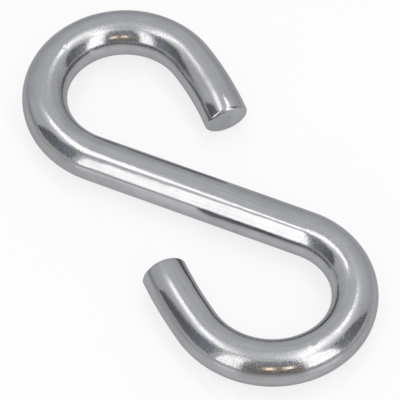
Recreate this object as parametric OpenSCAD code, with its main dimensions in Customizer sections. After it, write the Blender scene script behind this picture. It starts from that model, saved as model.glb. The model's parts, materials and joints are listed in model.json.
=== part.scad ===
// S hook, bent from one length of round steel bar.
// A straight shank runs between two open bends that turn to the same hand, so
// the hook reads as an S from above. Both ends are cut square and their rims
// are rounded over.
// The hook lies flat: the middle of the bar stays half a bar above z = 0, the
// surface that it rests on. +Y runs from the lower bend to the upper bend,
// along the line of pull, and the origin is the middle of the hook's outline.

/* [Bar] */
// Diameter of the round bar
bar_d = 8; // [4:0.5:12]
// Radius of the rounded rim at the upper cut end
upper_rim_r = 0.6; // [0.2:0.1:1.8]
// Radius of the rounded rim at the lower cut end
lower_rim_r = 0.4; // [0.2:0.1:1.8]

/* [Shank] */
// Length of the straight shank between the bends
shank_len = 40.5; // [34:0.5:90]

/* [Upper bend] */
// Inside radius of the upper bend
upper_inner_r = 10.15; // [7:0.05:14]
// Angle that the upper bend turns the bar through
upper_turn = 214; // [170:0.5:218]
// Inside radius of the upper tip, which is nearly straight
upper_tip_inner_r = 56; // [40:1:200]
// Angle that the upper tip still turns through
upper_tip_turn = 13.5; // [4:0.5:18]

/* [Lower bend] */
// Inside radius of the tight start of the lower bend, next to the shank
lower_start_inner_r = 9.1; // [7:0.05:12]
// Angle that the tight start turns the bar through
lower_start_turn = 119; // [80:0.5:122]
// Inside radius of the wider rest of the lower bend
lower_rest_inner_r = 10.9; // [8:0.05:14]
// Angle that the wider rest turns the bar through
lower_rest_turn = 96; // [60:0.5:99]
// Inside radius of the lower tip, which is nearly straight
lower_tip_inner_r = 76; // [40:1:200]
// Angle that the lower tip still turns through
lower_tip_turn = 9; // [4:0.5:14]

/* [Hidden] */
$fn = 96;

STEEL = [0.62, 0.63, 0.65];
bar_r = bar_d / 2;
// How far the rim's rounding starts outside the bar, so that it cuts in cleanly
rim_lead = 0.02;
// How far a tip runs on past its cut before it is trimmed
tip_spare = 1;
// Step of the coarse part of a move
coarse_step = 0.01;
// Step of the angle that a tip runs on through past its cut
turn_step = 0.01;

// Radii of the middle of the bar
upper_r = upper_inner_r + bar_r;
upper_tip_r = upper_tip_inner_r + bar_r;
lower_start_r = lower_start_inner_r + bar_r;
lower_rest_r = lower_rest_inner_r + bar_r;
lower_tip_r = lower_tip_inner_r + bar_r;

// The hook is drawn with its shank along X, and every arc of bar turns right.
// Centre of an arc of radius r, from the point p and the heading h where it
// starts, and back again
function arc_centre(p, h, r) = p + r * [sin(h), -cos(h)];
function arc_point(c, h, r) = c - r * [sin(h), -cos(h)];

// Lower end: tight start, wider rest, tip
lower_start_c = arc_centre([shank_len / 2, 0], 0, lower_start_r);
lower_rest_h = -lower_start_turn;
lower_rest_c = arc_centre(
    arc_point(lower_start_c, lower_rest_h, lower_start_r), lower_rest_h, lower_rest_r);
lower_tip_h = lower_rest_h - lower_rest_turn;
lower_tip_c = arc_centre(
    arc_point(lower_rest_c, lower_tip_h, lower_rest_r), lower_tip_h, lower_tip_r);

// Upper end, drawn at the same end of the shank and then turned half round
upper_c = arc_centre([shank_len / 2, 0], 0, upper_r);
upper_tip_h = -upper_turn;
upper_tip_c = arc_centre(
    arc_point(upper_c, upper_tip_h, upper_r), upper_tip_h, upper_tip_r);

// The line of pull runs through the centres next to the shank
pull = -upper_c - lower_start_c;
to_y = 90 - atan2(pull.y, pull.x);

function turned(v, a) = [v.x * cos(a) - v.y * sin(a), v.x * sin(a) + v.y * cos(a)];

// Outline of the bends, once the line of pull is along Y
upper_at = turned(-upper_c, to_y);
start_at = turned(lower_start_c, to_y);
rest_at = turned(lower_rest_c, to_y);
outline_left = min(upper_at.x - upper_r, rest_at.x - lower_rest_r) - bar_r;
outline_right = max(upper_at.x + upper_r, start_at.x + lower_start_r) + bar_r;
outline_low = rest_at.y - lower_rest_r - bar_r;
outline_high = upper_at.y + upper_r + bar_r;
outline_mid = [outline_left + outline_right, outline_low + outline_high] / 2;

// Moves in a coarse and a fine step, so that no digits are lost and the
// lengths of bar meet face to face
module place(v) {
    coarse = [for (x = v) round(x / coarse_step) * coarse_step];
    translate(coarse) translate(v - coarse) children();
}

// Arc of bar round the centre c, from the heading h
module bent_bar(c, r, h, turn) {
    place(c)
        rotate_extrude(start = h + 90 - turn, angle = turn)
            translate([r, 0]) circle(r = bar_r);
}

// What is trimmed off past a cut: all beyond it, and the corner of the rim
module trim(rim_r) {
    reach = bar_r + tip_spare;
    rotate([0, 90, 0]) rotate_extrude() {
        square([reach, reach]);
        difference() {
            translate([bar_r + rim_lead - rim_r, -rim_r])
                square([rim_r + tip_spare, rim_r + tip_spare]);
            translate([bar_r + rim_lead - rim_r, -rim_r]) circle(r = rim_r);
        }
    }
}

// Tip of bar, cut square after its turn and rounded at the rim
module tip(c, r, h, turn, rim_r) {
    spare_turn = tip_spare * 180 / (PI * r);
    difference() {
        bent_bar(c, r, h, turn + round(spare_turn / turn_step) * turn_step);
        place(arc_point(c, h - turn, r)) rotate([0, 0, h - turn]) trim(rim_r);
    }
}

module shank() {
    translate([-shank_len / 2, 0, 0]) rotate([0, 90, 0]) cylinder(h = shank_len, r = bar_r);
}

module lower_end() {
    bent_bar(lower_start_c, lower_start_r, 0, lower_start_turn);
    bent_bar(lower_rest_c, lower_rest_r, lower_rest_h, lower_rest_turn);
    tip(lower_tip_c, lower_tip_r, lower_tip_h, lower_tip_turn, lower_rim_r);
}

module upper_end() {
    bent_bar(upper_c, upper_r, 0, upper_turn);
    tip(upper_tip_c, upper_tip_r, upper_tip_h, upper_tip_turn, upper_rim_r);
}

module s_hook() {
    color(STEEL)
        translate([-outline_mid.x, -outline_mid.y, bar_r])
            rotate([0, 0, to_y]) {
                shank();
                lower_end();
                rotate([0, 0, 180]) upper_end();
            }
}

s_hook();
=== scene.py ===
"""The looks of an S hook bent from drawn and tumbled stainless bar.

The hook lies flat on a pale floor, inside a soft white light tent. The bar is
swept here as one closed mesh with rounded rims at its cut ends, the fine peel
and the small dings that tumbling leaves, and a finish whose grain follows the
bar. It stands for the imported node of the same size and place.
"""

import json
import logging
import math
from collections.abc import Iterator
from dataclasses import dataclass
from enum import Enum

import bmesh
import bpy
from mathutils import Euler, Matrix, Quaternion, Vector

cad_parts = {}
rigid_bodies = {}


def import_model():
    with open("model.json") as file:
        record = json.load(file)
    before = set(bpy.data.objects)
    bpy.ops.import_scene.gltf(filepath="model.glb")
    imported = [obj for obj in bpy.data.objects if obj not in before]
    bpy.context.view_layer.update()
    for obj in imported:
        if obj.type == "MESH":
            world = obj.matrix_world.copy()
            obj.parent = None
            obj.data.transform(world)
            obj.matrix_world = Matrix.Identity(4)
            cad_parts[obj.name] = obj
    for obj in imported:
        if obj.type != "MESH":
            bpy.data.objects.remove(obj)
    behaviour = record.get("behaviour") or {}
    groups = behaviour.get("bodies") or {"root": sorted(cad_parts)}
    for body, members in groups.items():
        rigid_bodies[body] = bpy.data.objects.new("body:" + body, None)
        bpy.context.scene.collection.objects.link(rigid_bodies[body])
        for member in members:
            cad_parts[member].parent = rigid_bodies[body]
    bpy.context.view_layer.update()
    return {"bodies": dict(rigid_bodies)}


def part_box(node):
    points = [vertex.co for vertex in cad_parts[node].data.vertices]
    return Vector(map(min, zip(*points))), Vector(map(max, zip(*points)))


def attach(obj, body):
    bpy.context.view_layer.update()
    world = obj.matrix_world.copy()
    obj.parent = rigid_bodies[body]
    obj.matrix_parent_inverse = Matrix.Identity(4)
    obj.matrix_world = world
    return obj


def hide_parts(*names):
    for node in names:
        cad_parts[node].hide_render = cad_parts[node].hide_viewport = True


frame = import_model()

logging.basicConfig(level=logging.INFO, format="%(name)s: %(message)s")
log = logging.getLogger("s_hook")

MM = 0.001
NODE = "s_hook"
BODY = next(iter(frame["bodies"]))
SLOT = "stainless_bar"
UP = Vector((0, 0, 1))
# The attribute that holds where each point lies on the bar before bending
BAR_PLACE = "bar_place"
# The attribute that says how far the steel was stretched by bending, 0 to 1
BEND_SHARE = "bend_share"
# The attribute that is 1 on the two cut faces and 0 elsewhere
CUT_FACE = "cut_face"
# How near to a ring or a cut face a point has to lie to count as on it
TOUCH = 0.01 * MM
# Points nearer to each other than this are joined
WELD = 0.001 * MM
# How far an arc is followed back past its start, in radians
BEFORE_ARC = math.pi / 8

Colour = tuple[float, float, float]
Span = tuple[float, float]
Socket = bpy.types.NodeSocket


class End(Enum):
    """The two cut ends of the bar, with the heading the bar leaves the shank at."""

    UPPER = 180.0
    LOWER = 0.0


def heading_vector(heading: float) -> Vector:
    """The level unit vector at that angle from +X, in degrees."""
    return Vector((math.cos(math.radians(heading)), math.sin(math.radians(heading)), 0))


def right_of(heading: float) -> Vector:
    """The level unit vector to the right of that heading."""
    return heading_vector(heading - 90)


@dataclass(frozen=True)
class Bend:
    """One arc that the bar turns through, always to the right."""

    inner_r: float
    turn: float


@dataclass(frozen=True)
class Stretch:
    """A piece of the middle line of the bar, a straight run or an arc."""

    begin: Vector
    heading: float
    length: float
    radius: float = 0.0

    @property
    def centre(self) -> Vector:
        """The point that an arc turns about."""
        return self.begin + right_of(self.heading) * self.radius

    @property
    def end_heading(self) -> float:
        """Works out the heading at the far end.

        Returns:
            The heading, in degrees.
        """
        if not self.radius:
            return self.heading
        return self.heading - math.degrees(self.length / self.radius)

    @property
    def end(self) -> Vector:
        """Works out the far end of the stretch.

        Returns:
            The point.
        """
        if not self.radius:
            return self.begin + heading_vector(self.heading) * self.length
        return self.centre - right_of(self.end_heading) * self.radius

    def unbend(self, point: Vector) -> tuple[float, float]:
        """Works out where a point lies against this stretch.

        Args:
            point: A point in the shank's frame.

        Returns:
            How far along the stretch the point is, and how far to the left of
            the middle line.
        """
        if not self.radius:
            offset = point - self.begin
            along = offset.dot(heading_vector(self.heading))
            return along, -offset.dot(right_of(self.heading))
        arm = (point - self.centre).xy
        start = -right_of(self.heading).xy
        turned = -math.atan2(start.cross(arm), start.dot(arm))
        if turned < -BEFORE_ARC:
            turned += math.tau
        return turned * self.radius, arm.length - self.radius


def clear_selection() -> None:
    """Leaves object mode active with nothing selected."""
    if bpy.context.object and bpy.context.object.mode != "OBJECT":
        bpy.ops.object.mode_set(mode="OBJECT")
    bpy.ops.object.select_all(action="DESELECT")


@dataclass(frozen=True)
class CutEnd:
    """The form that shearing and tumbling left at one end of the bar.

    The bar's surface sinks towards the cut by the fall, most on the side that
    the lean points to: 0 is the left of the way out and a quarter turn is the
    top. The face stands out at its top by the pitch, and at its left by the
    yaw. The angles are in radians.
    """

    rim_r: float
    fall: float
    fall_len: float
    lean: float
    pitch: float
    yaw: float = 0.0
    slant_len: float = 4.0 * MM

    def sunk(self, inside: float, left: float, up: float) -> float:
        """Works out how deep the surface has sunk towards the cut.

        Args:
            inside: How far inside the cut the place is.
            left: How far left of the bar's middle it is.
            up: How far above the bar's middle it is.

        Returns:
            The depth.
        """
        near = max(0.0, 1 - inside / self.fall_len)
        toward = max(0.0, math.cos(math.atan2(up, left) - self.lean))
        return self.fall * near**2 * toward

    def slant(self, inside: float, left: float, up: float) -> float:
        """How far outward the slant of the face carries a point."""
        near = max(0.0, 1 - inside / self.slant_len)
        return (self.yaw * left + self.pitch * up) * near


@dataclass(frozen=True)
class Ding:
    """A small knock in the bar, at a place on the straight bar.

    The turn is in radians about the bar, from its left, and the quarter turn is
    the top.
    """

    along: float
    turn: float
    size: float
    depth: float

    def depth_at(self, along: float, left: float, up: float) -> float:
        """Works out how deep the knock is at a place on the straight bar.

        Args:
            along: How far along the bar the place is, from its middle.
            left: How far left of the bar's middle line it is.
            up: How far above the middle line it is.

        Returns:
            The depth.
        """
        round_it = math.atan2(up, left) - self.turn
        away = math.hypot(along - self.along, round_it * math.hypot(left, up))
        return self.depth * math.exp(-((away / self.size) ** 2))


@dataclass
class HookBar:
    """The whole hook: one bar with a shank, two bends and two cut ends.

    Lengths are in metres and turns in degrees. The bar is made in the shank's
    own frame, with the shank along X, and then turned and moved onto the node
    that it stands for. Inside a bend it is thicker by the squeeze, a share, and
    outside it is as much thinner. The lead is how long that takes to set in.
    """

    bar_d: float
    shank_len: float = 40.5 * MM
    upper_bends: tuple[Bend, ...] = (Bend(10.15 * MM, 214), Bend(56 * MM, 13.5))
    lower_bends: tuple[Bend, ...] = (
        Bend(9.1 * MM, 119),
        Bend(10.9 * MM, 96),
        Bend(76 * MM, 9),
    )
    upper_cut: CutEnd = CutEnd(0.6 * MM, 0.61 * MM, 4.3 * MM, 1.85, 0.117, -0.045)
    lower_cut: CutEnd = CutEnd(0.4 * MM, 0.6 * MM, 5.5 * MM, 1.4, 0.05)
    dings: tuple[Ding, ...] = (
        Ding(-46.1 * MM, math.radians(76), 0.42 * MM, 0.06 * MM),
        Ding(50.6 * MM, math.radians(91), 0.45 * MM, 0.05 * MM),
    )
    squeeze: float = 0.018
    squeeze_lead: float = 8.0 * MM
    waver_size: float = 4.0 * MM
    waver_height: float = 0.022 * MM
    facets: int = 112
    ring_gap: float = 0.3 * MM
    rim_rings: int = 6
    face_span: int = 28

    @property
    def bar_r(self) -> float:
        """Radius of the bar."""
        return self.bar_d / 2

    def bends(self, end: End) -> tuple[Bend, ...]:
        """The bends between the shank and that end."""
        return self.upper_bends if end is End.UPPER else self.lower_bends

    def cut(self, end: End) -> CutEnd:
        """The form of the cut at that end."""
        return self.upper_cut if end is End.UPPER else self.lower_cut

    def stretches(self, end: End) -> Iterator[Stretch]:
        """Walks from the shank to one end.

        Args:
            end: The end to walk to.

        Yields:
            Each arc of the middle line, in order.
        """
        heading = end.value
        place = heading_vector(heading) * self.shank_len / 2
        for bend in self.bends(end):
            radius = bend.inner_r + self.bar_r
            arc = Stretch(place, heading, math.radians(bend.turn) * radius, radius)
            yield arc
            place, heading = arc.end, arc.end_heading

    def pull_turn(self) -> float:
        """Works out the turn that brings the line of pull onto +Y.

        Returns:
            The turn, in radians.
        """
        upper = next(self.stretches(End.UPPER)).centre
        lower = next(self.stretches(End.LOWER)).centre
        pull = upper - lower
        return math.pi / 2 - math.atan2(pull.y, pull.x)

    def build(self) -> bpy.types.Object:
        """Makes the hook as one closed mesh.

        Returns:
            The hook, with its place in its mesh.
        """
        hook = self.start_ring()
        self.draw_shank()
        for end in End:
            self.select_ring(hook, heading_vector(end.value) * self.shank_len / 2)
            self.turn_bends(end)
            self.round_rim(end)
            bpy.ops.mesh.fill_grid(span=self.face_span)
        bpy.ops.mesh.select_all(action="SELECT")
        bpy.ops.mesh.remove_doubles(threshold=WELD)
        bpy.ops.mesh.normals_make_consistent(inside=False)
        bpy.ops.object.mode_set(mode="OBJECT")
        self.note_places(hook)
        self.squeeze_bends(hook)
        for end in End:
            self.shape_cut(hook, end)
        self.knock_dings(hook)
        self.waver(hook)
        self.put_in_place(hook)
        return hook

    def dress(self, hook: bpy.types.Object) -> None:
        """Gives the hook its finish and smooth shading.

        Args:
            hook: The finished mesh.
        """
        hook.data.materials.append(SteelFinish().material())
        clear_selection()
        hook.data.shade_smooth()

    def start_ring(self) -> bpy.types.Object:
        """Adds the bar's outline at the upper end of the shank.

        Returns:
            The hook, in edit mode, with this ring selected.
        """
        clear_selection()
        bpy.ops.mesh.primitive_circle_add(
            vertices=self.facets,
            radius=self.bar_r,
            location=(-self.shank_len / 2, 0, 0),
            rotation=(0, math.pi / 2, 0),
        )
        hook = bpy.context.object
        hook.name = hook.data.name = "hook_bar"
        bpy.ops.object.transform_apply(location=True, rotation=True, scale=True)
        bpy.ops.object.mode_set(mode="EDIT")
        bpy.ops.mesh.select_all(action="SELECT")
        return hook

    def draw_shank(self) -> None:
        """Extrudes the selected ring along the shank, a ring at a time."""
        rings = round(self.shank_len / self.ring_gap)
        for _ in range(rings):
            bpy.ops.mesh.extrude_region_move(
                TRANSFORM_OT_translate={"value": (self.shank_len / rings, 0, 0)}
            )

    def select_ring(self, hook: bpy.types.Object, centre: Vector) -> None:
        """Selects only the ring of edges about one point of the middle line.

        Args:
            hook: The hook, in edit mode.
            centre: The middle of the wanted ring.
        """
        bpy.ops.mesh.select_all(action="DESELECT")
        mesh = bmesh.from_edit_mesh(hook.data)
        for edge in mesh.edges:
            on_ring = all(abs((v.co - centre).length - self.bar_r) < TOUCH for v in edge.verts)
            if edge.is_boundary and on_ring:
                edge.select_set(True)
        bmesh.update_edit_mesh(hook.data)

    def turn_bends(self, end: End) -> None:
        """Spins the selected ring round each bend, up to where the rim starts.

        Args:
            end: The end that the bends lead to.
        """
        arcs = list(self.stretches(end))
        for arc in arcs:
            length = arc.length - (self.cut(end).rim_r if arc is arcs[-1] else 0)
            bpy.ops.mesh.spin(
                steps=round(length / self.ring_gap),
                angle=length / arc.radius,
                center=arc.centre,
                axis=UP,
            )

    def round_rim(self, end: End) -> None:
        """Carries the selected ring over the rounded rim to the cut face.

        Args:
            end: The end whose rim it is.
        """
        *_, tip = self.stretches(end)
        rim_r = self.cut(end).rim_r
        out = heading_vector(tip.end_heading)
        ahead, ring_r = 0.0, self.bar_r
        for step in range(1, self.rim_rings + 1):
            angle = math.pi / 2 * step / self.rim_rings
            reach = rim_r * math.sin(angle)
            wide = self.bar_r - rim_r * (1 - math.cos(angle))
            bpy.ops.mesh.extrude_region_move(
                TRANSFORM_OT_translate={"value": out * (reach - ahead)}
            )
            bpy.ops.transform.resize(
                value=(wide / ring_r,) * 3,
                center_override=tip.end - out * (rim_r - reach),
            )
            ahead, ring_r = reach, wide

    def note_places(self, hook: bpy.types.Object) -> None:
        """Keeps where each point lay on the straight bar, for the finish to follow.

        Args:
            hook: The hook, in the shank's frame.
        """
        shank = Stretch(Vector((-self.shank_len / 2, 0, 0)), 0.0, self.shank_len)
        ways = {end: list(self.stretches(end)) for end in End}
        reaches = {
            end: self.shank_len / 2 + sum(arc.length for arc in arcs)
            for end, arcs in ways.items()
        }
        places, shares, cuts = [], [], []
        for vertex in hook.data.vertices:
            along, left, share = self.unbent(vertex.co, shank, ways)
            places.extend((along, left, vertex.co.z))
            shares.append(share)
            reach = reaches[End.LOWER if along > 0 else End.UPPER]
            cuts.append(float(abs(along) > reach - TOUCH))
        self.keep(hook, BAR_PLACE, "FLOAT_VECTOR", "vector", places)
        self.keep(hook, BEND_SHARE, "FLOAT", "value", shares)
        self.keep(hook, CUT_FACE, "FLOAT", "value", cuts)

    def keep(
        self, hook: bpy.types.Object, name: str, kind: str, field: str, values: list[float]
    ) -> None:
        """Stores one value or vector for each point of the mesh."""
        layer = hook.data.attributes.new(name, kind, "POINT")
        layer.data.foreach_set(field, values)

    def unbent(
        self, point: Vector, shank: Stretch, ways: dict[End, list[Stretch]]
    ) -> tuple[float, float, float]:
        """Finds a point of the bent bar on the straight one.

        Args:
            point: The point, in the shank's frame.
            shank: The straight run.
            ways: The arcs that lead to each end.

        Returns:
            How far along the bar it is from the shank's middle, how far left of
            the middle line, and the share of bending there.
        """
        slack = self.bar_r / 10
        fits = []
        along, left = shank.unbend(point)
        if -slack < along < shank.length + slack:
            fits.append((self.miss(left, point), along - self.shank_len / 2, left, 0.0))
        for end, arcs in ways.items():
            side = 1 if end is End.LOWER else -1
            gone = self.shank_len / 2
            for arc in arcs:
                along, left = arc.unbend(point)
                if -slack < along < arc.length + slack:
                    sharp = min(1.0, arcs[0].radius / arc.radius)
                    fits.append((self.miss(left, point), side * (gone + along), side * left, sharp))
                gone += arc.length
        _, along, left, share = min(fits)
        return along, left, share

    def miss(self, left: float, point: Vector) -> float:
        """How far outside the bar a point would lie at that distance from its middle."""
        return max(0.0, math.hypot(left, point.z) - self.bar_r)

    def bent_share(self, along: float) -> float:
        """Works out how fully the bar is bent at a place along it.

        Args:
            along: How far along the bar it is, from the shank's middle.

        Returns:
            The share of bending, 0 to 1.
        """
        bends = self.bends(End.LOWER if along > 0 else End.UPPER)
        tight = sum(math.radians(b.turn) * (b.inner_r + self.bar_r) for b in bends[:-1])
        start = self.shank_len / 2
        inside = min(abs(along) - start, start + tight - abs(along))
        share = min(1.0, max(0.0, 0.5 + inside / self.squeeze_lead))
        return share**2 * (3 - 2 * share)

    def squeeze_bends(self, hook: bpy.types.Object) -> None:
        """Thickens the bar a little inside each bend and thins it outside.

        Args:
            hook: The hook, with the places on the straight bar noted.
        """
        noted = hook.data.attributes[BAR_PLACE].data
        for vertex, place in zip(hook.data.vertices, noted):
            along, left, up = place.vector
            outward = math.copysign(left, left * along) / self.bar_r
            vertex.co.z = up * (1 - self.squeeze * self.bent_share(along) * outward)

    def shape_cut(self, hook: bpy.types.Object, end: End) -> None:
        """Lets the bar fall towards one cut and slants the face.

        Args:
            hook: The hook, in the shank's frame.
            end: The end to shape.
        """
        *_, tip = self.stretches(end)
        cut = self.cut(end)
        reach = max(cut.fall_len, cut.slant_len)
        for vertex in hook.data.vertices:
            along, left = tip.unbend(vertex.co)
            inside = tip.length - along
            if abs(inside) > reach or abs(left) > self.bar_d:
                continue
            heading = tip.heading - math.degrees(along / tip.radius)
            up = vertex.co.z
            kept = cut.sunk(inside, left, up) / self.bar_r
            across = right_of(heading) * left - UP * up
            vertex.co += across * kept + heading_vector(heading) * cut.slant(inside, left, up)

    def knock_dings(self, hook: bpy.types.Object) -> None:
        """Presses the small knocks into the bar.

        Args:
            hook: The hook, with the places on the straight bar noted.
        """
        noted = hook.data.attributes[BAR_PLACE].data
        depths = [sum(ding.depth_at(*place.vector) for ding in self.dings) for place in noted]
        inward = [-vertex.normal for vertex in hook.data.vertices]
        for vertex, way, depth in zip(hook.data.vertices, inward, depths):
            vertex.co += way * depth

    def waver(self, hook: bpy.types.Object) -> None:
        """Gives the surface the slight waviness of drawn and bent bar.

        Args:
            hook: The hook, with its rings made.
        """
        texture = bpy.data.textures.new("waver", "CLOUDS")
        texture.noise_scale = self.waver_size
        clear_selection()
        hook.select_set(True)
        bpy.context.view_layer.objects.active = hook
        bpy.ops.object.modifier_add(type="DISPLACE")
        displace = hook.modifiers[-1]
        displace.texture = texture
        displace.texture_coords = "LOCAL"
        displace.strength = self.waver_height
        bpy.ops.object.modifier_apply(modifier=displace.name)

    def put_in_place(self, hook: bpy.types.Object) -> None:
        """Turns the hook onto the line of pull and centres it on the node's box.

        Args:
            hook: The hook, in the shank's frame.
        """
        low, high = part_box(NODE)
        hook.data.transform(Matrix.Rotation(self.pull_turn(), 4, "Z"))
        corners = [Vector(v.co) for v in hook.data.vertices]
        own_low = Vector(map(min, *corners))
        own_high = Vector(map(max, *corners))
        hook.data.transform(Matrix.Translation((low + high - own_low - own_high) / 2))


@dataclass(frozen=True)
class NodeWeb:
    """Short ways to add and join the nodes of one material."""

    tree: bpy.types.NodeTree

    def link(self, output: Socket, socket: Socket) -> None:
        """Joins an output to a socket."""
        self.tree.links.new(output, socket)

    def feed(self, socket: Socket, value: "float | Socket") -> None:
        """Sets a socket to a fixed value, or joins it to an output.

        Args:
            socket: The socket.
            value: The number, the colour or the output.
        """
        if isinstance(value, Socket):
            self.link(value, socket)
        else:
            socket.default_value = value

    def attribute(self, name: str, output: str) -> Socket:
        """Reads one of the mesh's own attributes.

        Args:
            name: The attribute.
            output: The output of the node that fits its kind.

        Returns:
            What it holds.
        """
        node = self.tree.nodes.new("ShaderNodeAttribute")
        node.attribute_name = name
        return node.outputs[output]

    def stretched(self, place: Socket, scale: tuple[float, float, float]) -> Socket:
        """Scales a place before a pattern reads it.

        Args:
            place: The place.
            scale: The factor for each axis. A small one makes long marks.

        Returns:
            The scaled place.
        """
        node = self.tree.nodes.new("ShaderNodeMapping")
        node.inputs["Scale"].default_value = scale
        self.link(place, node.inputs["Vector"])
        return node.outputs["Vector"]

    def noise(self, place: Socket, size: float, detail: float) -> Socket:
        """Adds a noise.

        Args:
            place: Where it is read.
            size: About how large its lumps are, in metres.
            detail: How many times finer lumps are added.

        Returns:
            Its value, 0 to 1.
        """
        node = self.tree.nodes.new("ShaderNodeTexNoise")
        node.inputs["Scale"].default_value = 1 / size
        node.inputs["Detail"].default_value = detail
        self.link(place, node.inputs["Vector"])
        return node.outputs["Fac"]

    def mapped(self, value: Socket, given: Span, wanted: Span) -> Socket:
        """Maps one range of values onto another.

        Args:
            value: The value.
            given: The range that it has.
            wanted: The range that it gets.

        Returns:
            The new value, which stays inside the wanted range.
        """
        node = self.tree.nodes.new("ShaderNodeMapRange")
        self.link(value, node.inputs["Value"])
        numbers = (*given, *wanted)
        for name, number in zip(("From Min", "From Max", "To Min", "To Max"), numbers):
            node.inputs[name].default_value = number
        return node.outputs["Result"]

    def ramp(self, value: Socket, span: Span) -> Socket:
        """Rises from 0 to 1 over that span of the value."""
        return self.mapped(value, span, (0, 1))

    def turned(self, place: Socket, angle: float) -> Socket:
        """Turns a place about the bar's middle line.

        Args:
            place: The place.
            angle: The turn, in radians.

        Returns:
            The turned place.
        """
        node = self.tree.nodes.new("ShaderNodeMapping")
        node.inputs["Rotation"].default_value = (angle, 0, 0)
        self.link(place, node.inputs["Vector"])
        return node.outputs["Vector"]

    def part(self, place: Socket, axis: str) -> Socket:
        """Takes one coordinate of a place.

        Args:
            place: The place.
            axis: The name of the axis.

        Returns:
            The coordinate.
        """
        node = self.tree.nodes.new("ShaderNodeSeparateXYZ")
        self.link(place, node.inputs["Vector"])
        return node.outputs[axis]

    def sum_of(self, operation: str, first: Socket, second: "float | Socket") -> Socket:
        """Works out one operation on two values.

        Args:
            operation: The operation, as the Math node names it.
            first: The first value.
            second: The second value.

        Returns:
            The result.
        """
        node = self.tree.nodes.new("ShaderNodeMath")
        node.operation = operation
        self.feed(node.inputs[0], first)
        self.feed(node.inputs[1], second)
        return node.outputs["Value"]

    def times(self, first: Socket, second: "float | Socket") -> Socket:
        """Multiplies two values."""
        return self.sum_of("MULTIPLY", first, second)

    def largest(self, first: Socket, second: Socket) -> Socket:
        """Takes the larger of two values."""
        return self.sum_of("MAXIMUM", first, second)

    def lerp(self, share: Socket, low: Socket, high: float) -> Socket:
        """Goes from one value to another.

        Args:
            share: How far to go, 0 to 1.
            low: The value at 0.
            high: The value at 1.

        Returns:
            The value between them.
        """
        node = self.tree.nodes.new("ShaderNodeMix")
        node.data_type = "FLOAT"
        self.link(share, node.inputs["Factor"])
        self.link(low, node.inputs["A"])
        node.inputs["B"].default_value = high
        return node.outputs["Result"]

    def blend(self, first: "Colour | Socket", second: Colour, share: Socket) -> Socket:
        """Mixes two colours.

        Args:
            first: The colour at a share of 0.
            second: The colour at a share of 1.
            share: The share.

        Returns:
            The mixed colour.
        """
        node = self.tree.nodes.new("ShaderNodeMix")
        node.data_type = "RGBA"
        low = first if isinstance(first, Socket) else (*first, 1)
        self.feed(node.inputs["A"], low)
        node.inputs["B"].default_value = (*second, 1)
        self.link(share, node.inputs["Factor"])
        return node.outputs["Result"]

    def mixed(self, first: Socket, second: Socket, share: Socket) -> Socket:
        """Mixes two surfaces.

        Args:
            first: The surface at a share of 0.
            second: The surface at a share of 1.
            share: The share.

        Returns:
            The mixed surface.
        """
        node = self.tree.nodes.new("ShaderNodeMixShader")
        self.link(share, node.inputs["Fac"])
        self.link(first, node.inputs[1])
        self.link(second, node.inputs[2])
        return node.outputs[0]

    def bump(
        self,
        height: Socket,
        strength: "float | Socket",
        distance: float,
        under: "Socket | None" = None,
    ) -> Socket:
        """Turns a height into a change of the surface's direction.

        Args:
            height: The height, 0 to 1.
            strength: The share of it that is used.
            distance: How tall a height of 1 is, in metres.
            under: The direction of a bump that this one lies on.

        Returns:
            The changed direction.
        """
        node = self.tree.nodes.new("ShaderNodeBump")
        node.inputs["Distance"].default_value = distance
        self.feed(node.inputs["Strength"], strength)
        self.link(height, node.inputs["Height"])
        if under:
            self.link(under, node.inputs["Normal"])
        return node.outputs["Normal"]


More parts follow.
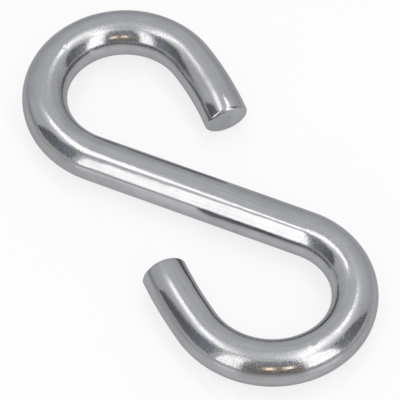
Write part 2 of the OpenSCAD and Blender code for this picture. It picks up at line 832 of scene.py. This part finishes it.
@dataclass(frozen=True)
class SteelFinish:
    """Drawn stainless bar, tumbled bright, as a finish that follows the bar.

    The patterns read where each point lay on the straight bar, so the drawn
    grain runs along the bar and goes round the bends with it. The smaller a
    squash is, the longer are the pattern's marks. A span is the part of a
    pattern over which its mark grows from nothing to full, and a least is the
    share of the mark that is left where it is weakest.
    """

    colour: Colour = (0.405, 0.41, 0.425)
    stain: Colour = (0.333, 0.336, 0.345)
    edge_tint: Colour = (0.62, 0.63, 0.66)
    polish: float = 0.06
    dull: float = 0.13
    cloud_size: float = 3.5 * MM
    cloud_span: Span = (0.3, 0.7)
    frost: float = 0.32
    frost_least: float = 0.35
    frost_top: Span = (3.2 * MM, 3.95 * MM)
    frost_side: Span = (-0.6 * MM, 1.2 * MM)
    speck_size: float = 0.24 * MM
    speck_span: Span = (0.52, 0.66)
    speck_share: Span = (0.3, 0.8)
    speck_dull: float = 0.38
    peel_size: float = 0.38 * MM
    peel_height: float = 0.009 * MM
    peel_least: float = 0.3
    streak_size: float = 0.45 * MM
    streak_squash: float = 0.02
    streak_share: float = 0.6
    stain_span: Span = (0.36, 0.64)
    grain_size: float = 0.16 * MM
    grain_squash: float = 0.03
    grain_height: float = 0.004 * MM
    scratch_size: float = 0.22 * MM
    scratch_squash: float = 0.15
    scratch_height: float = 0.010 * MM
    scratch_least: float = 0.2
    saw_size: float = 0.30 * MM
    saw_squash: float = 0.08
    saw_span: Span = (0.42, 0.62)
    saw_height: float = 0.020 * MM
    saw_mark: Colour = (0.325, 0.33, 0.343)
    saw_slant: float = math.radians(-32)

    def material(self) -> bpy.types.Material:
        """Makes the material.

        Returns:
            The finish, ready for the hook's material slot.
        """
        steel = bpy.data.materials.new(SLOT)
        steel.use_nodes = True
        web = NodeWeb(steel.node_tree)
        shader = steel.node_tree.nodes["Principled BSDF"]
        shader.inputs["Metallic"].default_value = 1.0
        shader.inputs["Specular Tint"].default_value = (*self.edge_tint, 1)
        place = web.attribute(BAR_PLACE, "Vector")
        bent = web.attribute(BEND_SHARE, "Fac")
        cut = web.attribute(CUT_FACE, "Fac")
        cloud = web.noise(place, self.cloud_size, detail=4.0)
        frosted = self.frosted(web, place, cloud)
        drawn_out = web.stretched(place, (self.streak_squash, 1, 1))
        streaks = web.times(web.noise(drawn_out, self.streak_size, detail=4.0), self.streak_share)
        tone = web.sum_of("ADD", web.times(cloud, 1 - self.streak_share), streaks)
        drawn = web.blend(self.colour, self.stain, web.ramp(tone, self.stain_span))
        sawn = self.sawn(web, place)
        marks = web.times(cut, web.ramp(sawn, self.saw_span))
        web.link(web.blend(drawn, self.saw_mark, marks), shader.inputs["Base Color"])
        polished = web.mapped(cloud, self.cloud_span, (self.polish, self.dull))
        rough = web.lerp(web.largest(frosted, cut), polished, self.frost)
        specks = self.specks(web, place, bent)
        web.link(web.lerp(specks, rough, self.speck_dull), shader.inputs["Roughness"])
        relief = self.relief(web, place, bent, frosted)
        web.link(web.bump(sawn, cut, self.saw_height, relief), shader.inputs["Normal"])
        return steel

    def specks(self, web: NodeWeb, place: Socket, bent: Socket) -> Socket:
        """Scatters the matt pits of tumbling, closest where the bar was bent."""
        pits = web.ramp(web.noise(place, self.speck_size, detail=2.0), self.speck_span)
        return web.times(pits, web.mapped(bent, (0, 1), self.speck_share))

    def sawn(self, web: NodeWeb, place: Socket) -> Socket:
        """Draws the slanting marks that a saw leaves across a cut."""
        slanting = web.stretched(web.turned(place, self.saw_slant), (1, self.saw_squash, 1))
        return web.noise(slanting, self.saw_size, detail=3.0)

    def frosted(self, web: NodeWeb, place: Socket, cloud: Socket) -> Socket:
        """Finds the matt band that rubbing leaves along the top of the bar.

        Args:
            web: The material's nodes.
            place: Where the point lay on the straight bar.
            cloud: The broad unevenness of the finish.

        Returns:
            The share of rubbing, 0 to 1.
        """
        height = web.part(place, "Z")
        left = web.part(place, "Y")
        band = web.times(web.ramp(height, self.frost_top), web.ramp(left, self.frost_side))
        return web.times(band, web.mapped(cloud, self.cloud_span, (self.frost_least, 1.0)))

    def relief(self, web: NodeWeb, place: Socket, bent: Socket, frosted: Socket) -> Socket:
        """Lays the fine reliefs of the finish over each other.

        Args:
            web: The material's nodes.
            place: Where the point lay on the straight bar.
            bent: The share of bending.
            frosted: The share of rubbing.

        Returns:
            The surface's direction with all of them.
        """
        peel = web.noise(place, self.peel_size, detail=3.0)
        drawn_out = web.stretched(place, (self.grain_squash, 1, 1))
        grain = web.noise(drawn_out, self.grain_size, detail=2.0)
        round_it = web.stretched(place, (1, self.scratch_squash, self.scratch_squash))
        scratches = web.noise(round_it, self.scratch_size, detail=3.0)
        way = web.bump(peel, web.mapped(bent, (0, 1), (self.peel_least, 1.0)), self.peel_height)
        way = web.bump(grain, 1.0, self.grain_height, way)
        rubbed = web.mapped(frosted, (0, 1), (self.scratch_least, 1.0))
        return web.bump(scratches, rubbed, self.scratch_height, way)


# How bright the lamps at the sides and the strips overhead look
LAMP_LEVEL = 1.78
STRIP_LEVEL = 2.15
# The light of the cards: beside a strip, above an opening, under an opening,
# and in the openings themselves
WHITE: Colour = (1.0, 1.0, 1.0)
SKIRT: Colour = (1.38, 1.37, 1.35)
GLARE: Colour = (1.12, 1.12, 1.12)
SILL: Colour = (0.88, 0.84, 0.75)
BLUE_GREY: Colour = (0.40, 0.42, 0.47)
DARK_BLUE: Colour = (0.20, 0.205, 0.235)
DARK_GREY: Colour = (0.22, 0.225, 0.24)
PALE_BLUE: Colour = (0.42, 0.44, 0.48)


@dataclass(frozen=True)
class Bearing:
    """An upright rectangle near the edge of the tent, as seen from the hook.

    Its middle and width are in degrees, clockwise from straight ahead of the
    camera, and low and high are degrees above the floor. The reach is how far
    out it stands, as a share of the tent's own.
    """

    middle: float
    width: float
    low: float
    high: float
    reach: float = 1.0


@dataclass(frozen=True)
class Strip:
    """A level rectangle overhead, its sides given as shares of its height.

    The splay is how far its far end is turned to the left, in radians.
    """

    left: float
    right: float
    near: float
    far: float
    splay: float = 0.0


@dataclass(frozen=True)
class Lamp:
    """An even rectangular lamp, with how bright it looks."""

    name: str
    spot: Bearing | Strip
    level: float


@dataclass(frozen=True)
class Card:
    """A glowing card, whose light may change towards its right and its top."""

    name: str
    spot: Bearing | Strip
    colour: Colour
    right_colour: Colour | None = None
    top_colour: Colour | None = None


@dataclass
class LightTent:
    """The floor, the pale walls, the soft lamps and the dark openings.

    The wall's span is in shares of the height of the sky, and the glare's is in
    shares of a card's height.
    """

    ahead: Vector
    reach: float = 1.15
    roof: float = 1.38
    wall_low: Colour = (0.76, 0.77, 0.80)
    wall_high: Colour = (0.99, 1.0, 1.02)
    wall_span: Span = (0.1, 0.9)
    glare_span: Span = (0.4, 1.02)
    floor_size: float = 6.0
    floor_colour: Colour = (0.86, 0.86, 0.86)
    floor_rough: float = 0.9
    floor_glow: Colour = (0.985, 0.985, 0.985)
    floor_glow_share: float = 0.82
    floor_ior: float = 1.45
    floor_gloss: float = 0.15
    lamp_tint: Colour = (1.0, 0.977, 0.935)
    lamps: tuple[Lamp, ...] = (
        Lamp("left_lamp", Bearing(-144, 19, 7, 64), LAMP_LEVEL),
        Lamp("right_lamp", Bearing(135, 28, 9, 68), LAMP_LEVEL),
        Lamp("left_strip", Strip(-0.50, -0.26, -0.215, 0.5, math.radians(4)), STRIP_LEVEL),
        Lamp("right_strip", Strip(0.165, 0.40, -0.3, 0.54), STRIP_LEVEL),
    )
    cards: tuple[Card, ...] = (
        Card("left_skirt", Strip(-0.84, -0.50, -0.10, 0.62), WHITE, SKIRT),
        Card("right_skirt", Strip(0.40, 0.74, -0.3, 0.66), SKIRT, WHITE),
        Card("left_opening", Bearing(-107, 43, 8.5, 67), BLUE_GREY, DARK_BLUE, GLARE),
        Card("right_opening", Bearing(99.5, 37, 8.5, 68), DARK_GREY, PALE_BLUE, GLARE),
        Card("front_low", Bearing(178, 52, 2, 27), (0.35, 0.325, 0.305)),
        Card("front_middle", Bearing(178, 52, 27, 46), (0.42, 0.395, 0.385)),
        Card("front_high", Bearing(178, 52, 46, 64), (0.46, 0.47, 0.50)),
        Card("left_halo", Bearing(165, 14, 23, 39, 0.985), (0.86, 0.72, 0.57)),
        Card("right_halo", Bearing(181, 13, 23, 40, 0.985), (0.86, 0.68, 0.49)),
        Card("left_glow", Bearing(164, 8, 26, 35, 0.97), (3.0, 2.6, 2.2)),
        Card("right_glow", Bearing(181, 7, 26, 36, 0.97), (2.8, 2.3, 1.7)),
        Card("left_ledge", Bearing(-76, 18, 1, 6), (0.46, 0.47, 0.5)),
        Card("left_sill", Bearing(-107, 43, 2.5, 8), SILL),
        Card("right_sill", Bearing(99.5, 37, 2.5, 8), SILL),
    )

    def build(self) -> None:
        """Makes everything round the hook."""
        self.lay_floor()
        self.light_walls()
        for lamp in self.lamps:
            self.hang_lamp(lamp)
        for card in self.cards:
            self.hang_card(card)
        log.info("light tent: %d lamps, %d cards", len(self.lamps), len(self.cards))

    def toward(self, bearing: float) -> Vector:
        """The level unit vector at that bearing."""
        return Matrix.Rotation(math.radians(-bearing), 3, "Z") @ self.ahead

    def lay_floor(self) -> None:
        """Adds the pale floor under the hook."""
        clear_selection()
        bpy.ops.mesh.primitive_plane_add(size=self.floor_size)
        floor = bpy.context.object
        floor.name = "floor"
        paint = bpy.data.materials.new("pale_floor")
        paint.use_nodes = True
        shader = paint.node_tree.nodes["Principled BSDF"]
        shader.inputs["Base Color"].default_value = (*self.floor_colour, 1)
        shader.inputs["Roughness"].default_value = self.floor_rough
        shader.inputs["Specular IOR Level"].default_value = 0.0
        self.lift_floor(NodeWeb(paint.node_tree), shader.outputs["BSDF"])
        floor.data.materials.append(paint)

    def lift_floor(self, web: NodeWeb, surface: Socket) -> None:
        """Lets the floor be seen nearer to white, under a faint gloss.

        The white changes only what is seen, straight or in the steel, and not
        the light that the floor gives. The gloss shows at low angles.

        Args:
            web: The floor material's nodes.
            surface: The floor's own surface.
        """
        rays = web.tree.nodes.new("ShaderNodeLightPath").outputs
        seen = web.largest(rays["Is Camera Ray"], rays["Is Glossy Ray"])
        seen = web.largest(seen, rays["Is Transmission Ray"])
        glow = web.tree.nodes.new("ShaderNodeEmission")
        glow.inputs["Color"].default_value = (*self.floor_glow, 1)
        lit = web.mixed(surface, glow.outputs["Emission"], web.times(seen, self.floor_glow_share))
        fresnel = web.tree.nodes.new("ShaderNodeFresnel")
        fresnel.inputs["IOR"].default_value = self.floor_ior
        sheen = web.tree.nodes.new("ShaderNodeBsdfAnisotropic")
        sheen.inputs["Roughness"].default_value = self.floor_gloss
        glossy = web.mixed(lit, sheen.outputs["BSDF"], fresnel.outputs["Fac"])
        web.link(glossy, web.tree.nodes["Material Output"].inputs["Surface"])

    def light_walls(self) -> None:
        """Sets the light of the tent's white walls, which grows with height."""
        world = bpy.data.worlds.new("tent_walls")
        world.use_nodes = True
        web = NodeWeb(world.node_tree)
        way = world.node_tree.nodes.new("ShaderNodeTexCoord").outputs["Generated"]
        rise = web.ramp(web.part(way, "Z"), self.wall_span)
        tint = web.blend(self.wall_low, self.wall_high, rise)
        web.link(tint, world.node_tree.nodes["Background"].inputs["Color"])
        bpy.context.scene.world = world

    def placed(self, spot: Bearing | Strip) -> tuple[Vector, Quaternion, tuple[float, float]]:
        """Works out a rectangle that faces the hook.

        Args:
            spot: Where it is.

        Returns:
            Its middle, its turn from facing straight down, and its two sides.
        """
        return self.upright(spot) if isinstance(spot, Bearing) else self.level(spot)

    def upright(self, spot: Bearing) -> tuple[Vector, Quaternion, tuple[float, float]]:
        """Works out an upright rectangle at the edge of the tent.

        Args:
            spot: Where it stands.

        Returns:
            Its middle, its turn, and its width and height.
        """
        reach = self.reach * spot.reach
        low, high = (reach * math.tan(math.radians(a)) for a in (spot.low, spot.high))
        middle = self.toward(spot.middle) * reach + UP * (low + high) / 2
        wide = 2 * reach * math.tan(math.radians(spot.width / 2))
        return middle, self.toward(spot.middle).to_track_quat("Z", "Y"), (wide, high - low)

    def level(self, spot: Strip) -> tuple[Vector, Quaternion, tuple[float, float]]:
        """Works out a level rectangle under the tent's roof.

        Args:
            spot: Its sides.

        Returns:
            Its middle, its turn, and its width and length.
        """
        across = self.toward(90) * (spot.left + spot.right) / 2
        along = self.ahead * (spot.near + spot.far) / 2
        turn = Euler((0, 0, math.atan2(-self.ahead.x, self.ahead.y) + spot.splay))
        sides = ((spot.right - spot.left) * self.roof, (spot.far - spot.near) * self.roof)
        return (across + along + UP) * self.roof, turn.to_quaternion(), sides

    def hang_lamp(self, lamp: Lamp) -> None:
        """Adds one lamp.

        Args:
            lamp: The lamp.
        """
        data = bpy.data.lights.new(lamp.name, "AREA")
        data.shape = "RECTANGLE"
        hung = bpy.data.objects.new(lamp.name, data)
        hung.rotation_mode = "QUATERNION"
        hung.location, hung.rotation_quaternion, sides = self.placed(lamp.spot)
        data.size, data.size_y = sides
        data.energy = lamp.level * math.pi * data.size * data.size_y
        data.color = self.lamp_tint
        hung.visible_camera = False
        bpy.context.scene.collection.objects.link(hung)

    def hang_card(self, card: Card) -> None:
        """Adds one card.

        Args:
            card: The card.
        """
        middle, turn, sides = self.placed(card.spot)
        spread = turn.to_matrix().to_4x4() @ Matrix.Diagonal((*sides, 1, 1))
        clear_selection()
        bpy.ops.mesh.primitive_plane_add(size=1)
        hung = bpy.context.object
        hung.name = card.name
        hung.data.transform(Matrix.Translation(middle) @ spread)
        hung.data.materials.append(self.glow(card))
        hung.visible_camera = False

    def glow(self, card: Card) -> bpy.types.Material:
        """Makes the material of a card.

        Args:
            card: The card.

        Returns:
            The material.
        """
        paint = bpy.data.materials.new(card.name)
        paint.use_nodes = True
        web = NodeWeb(paint.node_tree)
        web.tree.nodes.remove(web.tree.nodes["Principled BSDF"])
        glow = web.tree.nodes.new("ShaderNodeEmission")
        sides = web.tree.nodes.new("ShaderNodeTexCoord").outputs["UV"]
        ends = [card.colour, card.right_colour or card.colour]
        # The X of an upright card runs to the left, as seen from the hook
        if isinstance(card.spot, Bearing):
            ends.reverse()
        tint = web.blend(*ends, web.part(sides, "X"))
        if card.top_colour:
            tint = web.blend(tint, card.top_colour, web.ramp(web.part(sides, "Y"), self.glare_span))
        web.link(tint, glow.inputs["Color"])
        web.link(glow.outputs["Emission"], web.tree.nodes["Material Output"].inputs["Surface"])
        return paint


@dataclass(frozen=True)
class TentCamera:
    """The camera, looking down at the hook through the tent's open front."""

    azimuth: float = -33.07
    elevation: float = 57.0
    distance: float = 529.8 * MM
    lens: float = 275.0
    sensor: float = 36.0
    target: Vector = Vector((-0.24 * MM, -1.69 * MM, 4.0 * MM))

    @property
    def back(self) -> Vector:
        """Works out the unit vector from the hook to the camera.

        Returns:
            The vector.
        """
        turn, tilt = math.radians(self.azimuth), math.radians(self.elevation)
        level = math.cos(tilt)
        return Vector((math.sin(turn) * level, -math.cos(turn) * level, math.sin(tilt)))

    @property
    def ahead(self) -> Vector:
        """The level unit vector straight ahead of the camera."""
        return Vector((-self.back.x, -self.back.y, 0)).normalized()

    def build(self) -> None:
        """Adds the camera and makes it the scene's own."""
        data = bpy.data.cameras.new("camera")
        data.lens, data.sensor_width = self.lens, self.sensor
        camera = bpy.data.objects.new("camera", data)
        camera.location = self.target + self.back * self.distance
        camera.rotation_mode = "QUATERNION"
        camera.rotation_quaternion = (-self.back).to_track_quat("-Z", "Y")
        bpy.context.scene.collection.objects.link(camera)
        bpy.context.scene.camera = camera


def main() -> None:
    """Builds the hook, its tent and its camera, and logs how many faces the hook has."""
    low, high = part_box(NODE)
    bar = HookBar(bar_d=high.z - low.z)
    hook = bar.build()
    bar.dress(hook)
    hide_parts(NODE)
    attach(hook, BODY)
    log.info("%s: %d faces", hook.name, len(hook.data.polygons))
    camera = TentCamera()
    camera.build()
    LightTent(ahead=camera.ahead).build()
    bpy.context.scene.view_settings.view_transform = "Standard"


if __name__ == "__main__":
    main()
